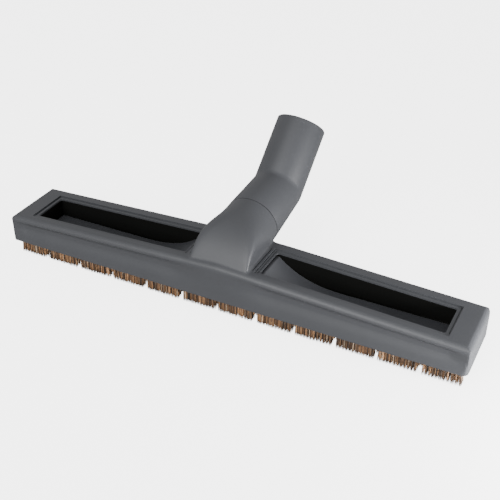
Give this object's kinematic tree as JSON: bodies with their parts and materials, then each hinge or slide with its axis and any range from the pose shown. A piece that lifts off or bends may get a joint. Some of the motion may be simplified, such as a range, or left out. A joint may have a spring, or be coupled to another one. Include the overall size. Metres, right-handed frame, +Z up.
{
  "type": "vacuum floor brush nozzle",
  "caption": "Wide hard-floor suction nozzle with two rows of bristles, two windows in its top and a swivelling elbow for a wand tube.",
  "frame": {"origin": "middle of the box around the nozzle, on the floor that its bristle tips stand on", "axes": "+X along the width, +Y from the front edge to the tube socket, +Z up"},
  "size_m": [0.362, 0.1534, 0.1051],
  "materials": {
    "grey_housing": "satin moulded ABS",
    "black_frame": "moulded polypropylene",
    "bristles": "mixed brown horsehair",
    "felt": "pressed felt",
    "acetal": "moulded acetal",
    "screw_steel": "zinc plated"
  },
  "bodies": {
    "housing": {"top_cover": "grey_housing", "inner_frame": "black_frame", "duct_cover": "grey_housing", "front_rail": "black_frame", "rear_rail": "black_frame", "front_bristles": "bristles", "rear_bristles": "bristles", "swivel_bush": "acetal", "neck_seal": "felt", "end_screw_right_front": "screw_steel", "duct_screw_right_front": "screw_steel", "end_screw_right_rear": "screw_steel", "duct_screw_right_rear": "screw_steel", "end_screw_left_front": "screw_steel", "duct_screw_left_front": "screw_steel", "end_screw_left_rear": "screw_steel", "duct_screw_left_rear": "screw_steel"},
    "elbow": {"swivel_elbow": "grey_housing", "retaining_clip_left": "acetal", "retaining_clip_right": "acetal"}
  },
  "joints": [
    {"name": "elbow_swivel", "type": "hinge", "parent": "housing", "child": "elbow", "pos_m": [0, -0.01933, 0.047], "axis": [0, 0.9905, 0.1374], "continuous": true}
  ]
}
